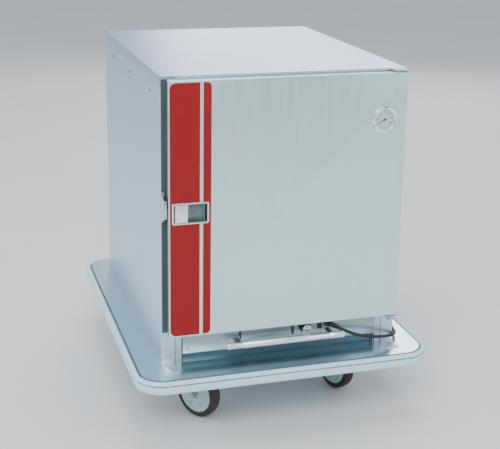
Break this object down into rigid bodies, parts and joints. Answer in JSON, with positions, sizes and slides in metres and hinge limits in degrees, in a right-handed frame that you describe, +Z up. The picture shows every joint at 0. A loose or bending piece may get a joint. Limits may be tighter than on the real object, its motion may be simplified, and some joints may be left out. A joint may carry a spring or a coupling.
{
  "type": "heated proofing cabinet",
  "caption": "Short insulated heated proofing cabinet on a wheeled platform with a bumper all round, a hinged door with a paddle latch, and a pull-out heat module.",
  "frame": {"origin": "on the floor, under the middle of the bumpered platform", "axes": "+X to the right as the user faces the door, +Y to the back, +Z up"},
  "size_m": [0.756, 0.892, 0.892],
  "materials": {
    "stainless_door": "satin",
    "stainless_side": "satin",
    "stainless_top": "satin",
    "stainless_frame": "satin",
    "deck_steel": "gloss",
    "bumper_vinyl": "satin",
    "aluminium_channel": "satin",
    "welded_steel": "satin",
    "zinc_plate": "satin",
    "hub_plastic": "satin",
    "wheel_tread": "matte",
    "brake_red": "matte",
    "liner_steel": "satin",
    "glass_wool": "matte",
    "gasket_rubber": "matte",
    "red_vinyl": "satin",
    "chrome_trim": "gloss",
    "dial_face": "satin",
    "dial_glass": "gloss",
    "needle_black": "matte",
    "handle_steel": "gloss",
    "plate_grey": "satin",
    "element_steel": "matte",
    "black_plastic": "matte",
    "cord_rubber": "matte",
    "knob_silver": "satin"
  },
  "bodies": {
    "cabinet": {"back_panel": "stainless_side", "base_frame": "welded_steel", "body_rivets": "chrome_trim", "bumper_channel": "aluminium_channel", "bumper_strip": "bumper_vinyl", "caster_bolts": "zinc_plate", "caster_plates": "zinc_plate", "cavity_liner": "liner_steel", "deck_pan": "deck_steel", "foot_plates": "stainless_frame", "front_frame": "stainless_frame", "hinge_brackets": "chrome_trim", "insulation": "glass_wool", "latch_strike": "chrome_trim", "module_bay": "stainless_frame", "side_panel_left": "stainless_side", "side_panel_right": "stainless_side", "slide_rack_left": "liner_steel", "slide_rack_right": "liner_steel", "top_cover": "stainless_top"},
    "door": {"door_outer_pan": "stainless_door", "door_inner_pan": "liner_steel", "door_insulation": "glass_wool", "door_gasket": "gasket_rubber", "door_stripes": "red_vinyl", "latch_housing": "chrome_trim", "thermometer_case": "chrome_trim", "thermometer_dial": "dial_face", "thermometer_lens": "dial_glass", "thermometer_screws": "chrome_trim"},
    "latch_paddle": {"latch_paddle": "chrome_trim"},
    "latch_bolt": {"latch_bolt": "chrome_trim"},
    "thermometer_needle": {"thermometer_needle": "needle_black"},
    "heat_module": {"module_tray": "liner_steel", "control_panel": "stainless_frame", "module_handle": "handle_steel", "nameplate": "plate_grey", "heating_element": "element_steel", "water_pan": "liner_steel", "thermostat": "black_plastic", "cord_gland": "black_plastic", "power_cord": "cord_rubber", "cord_hank": "cord_rubber", "plug": "black_plastic"},
    "control_knob": {"control_knob": "knob_silver"},
    "power_switch": {"power_switch": "black_plastic"},
    "front_left_caster": {"front_left_fork": "zinc_plate"},
    "front_left_rolling": {"front_left_wheel": "hub_plastic", "front_left_tyre": "wheel_tread"},
    "front_right_caster": {"front_right_fork": "zinc_plate"},
    "front_right_rolling": {"front_right_wheel": "hub_plastic", "front_right_tyre": "wheel_tread"},
    "rear_left_caster": {"rear_left_fork": "zinc_plate"},
    "rear_left_rolling": {"rear_left_wheel": "hub_plastic", "rear_left_tyre": "wheel_tread"},
    "rear_left_brake": {"rear_left_brake_pedal": "brake_red"},
    "rear_right_caster": {"rear_right_fork": "zinc_plate"},
    "rear_right_rolling": {"rear_right_wheel": "hub_plastic", "rear_right_tyre": "wheel_tread"},
    "rear_right_brake": {"rear_right_brake_pedal": "brake_red"}
  },
  "joints": [
    {"name": "door_hinge", "type": "hinge", "parent": "cabinet", "child": "door", "pos_m": [0.285, -0.376, 0.577], "axis": [0, 0, 1], "range_deg": [0, 180]},
    {"name": "paddle_pivot", "type": "hinge", "parent": "door", "child": "latch_paddle", "pos_m": [-0.276, -0.3845, 0.5765], "axis": [0, 0, -1], "range_deg": [0, 35]},
    {"name": "bolt_slide", "type": "slide", "parent": "door", "child": "latch_bolt", "axis": [1, 0, 0], "range_m": [0, 0.008]},
    {"name": "needle_turn", "type": "hinge", "parent": "door", "child": "thermometer_needle", "pos_m": [0.236, -0.386, 0.775], "axis": [0, 1, 0], "range_deg": [0, 240]},
    {"name": "module_slide", "type": "slide", "parent": "cabinet", "child": "heat_module", "axis": [0, -1, 0], "range_m": [0, 0.3]},
    {"name": "knob_turn", "type": "hinge", "parent": "heat_module", "child": "control_knob", "pos_m": [0.061, -0.352, 0.247], "axis": [0, 1, 0], "range_deg": [0, 270]},
    {"name": "switch_rock", "type": "hinge", "parent": "heat_module", "child": "power_switch", "pos_m": [0.101, -0.348, 0.246], "axis": [-1, 0, 0], "range_deg": [0, 16]},
    {"name": "front_left_swivel", "type": "hinge", "parent": "cabinet", "child": "front_left_caster", "pos_m": [-0.215, -0.252, 0.14], "axis": [0, 0, 1], "continuous": true},
    {"name": "front_left_roll", "type": "hinge", "parent": "front_left_caster", "child": "front_left_rolling", "pos_m": [-0.1942, -0.28138, 0.0635], "axis": [0.8161, 0.5779, 0], "continuous": true},
    {"name": "front_right_swivel", "type": "hinge", "parent": "cabinet", "child": "front_right_caster", "pos_m": [0.215, -0.252, 0.14], "axis": [0, 0, 1], "continuous": true},
    {"name": "front_right_roll", "type": "hinge", "parent": "front_right_caster", "child": "front_right_rolling", "pos_m": [0.20269, -0.21817, 0.0635], "axis": [-0.9397, -0.342, 0], "continuous": true},
    {"name": "rear_left_swivel", "type": "hinge", "parent": "cabinet", "child": "rear_left_caster", "pos_m": [-0.215, 0.252, 0.14], "axis": [0, 0, 1], "continuous": true},
    {"name": "rear_left_roll", "type": "hinge", "parent": "rear_left_caster", "child": "rear_left_rolling", "pos_m": [-0.1981, 0.28379, 0.0635], "axis": [-0.8829, 0.4695, 0], "continuous": true},
    {"name": "rear_left_brake_press", "type": "hinge", "parent": "rear_left_caster", "child": "rear_left_brake", "pos_m": [-0.17838, 0.32087, 0.12], "axis": [-0.8829, 0.4695, 0], "range_deg": [0, 8]},
    {"name": "rear_right_swivel", "type": "hinge", "parent": "cabinet", "child": "rear_right_caster", "pos_m": [0.215, 0.252, 0.14], "axis": [0, 0, 1], "continuous": true},
    {"name": "rear_right_roll", "type": "hinge", "parent": "rear_right_caster", "child": "rear_right_rolling", "pos_m": [0.1981, 0.28379, 0.0635], "axis": [-0.8829, -0.4695, 0], "continuous": true},
    {"name": "rear_right_brake_press", "type": "hinge", "parent": "rear_right_caster", "child": "rear_right_brake", "pos_m": [0.17838, 0.32087, 0.12], "axis": [-0.8829, -0.4695, 0], "range_deg": [0, 8]}
  ],
  "couplings": [
    {"joint": "bolt_slide", "follows": "paddle_pivot", "m_per_rad": 0.013}
  ]
}
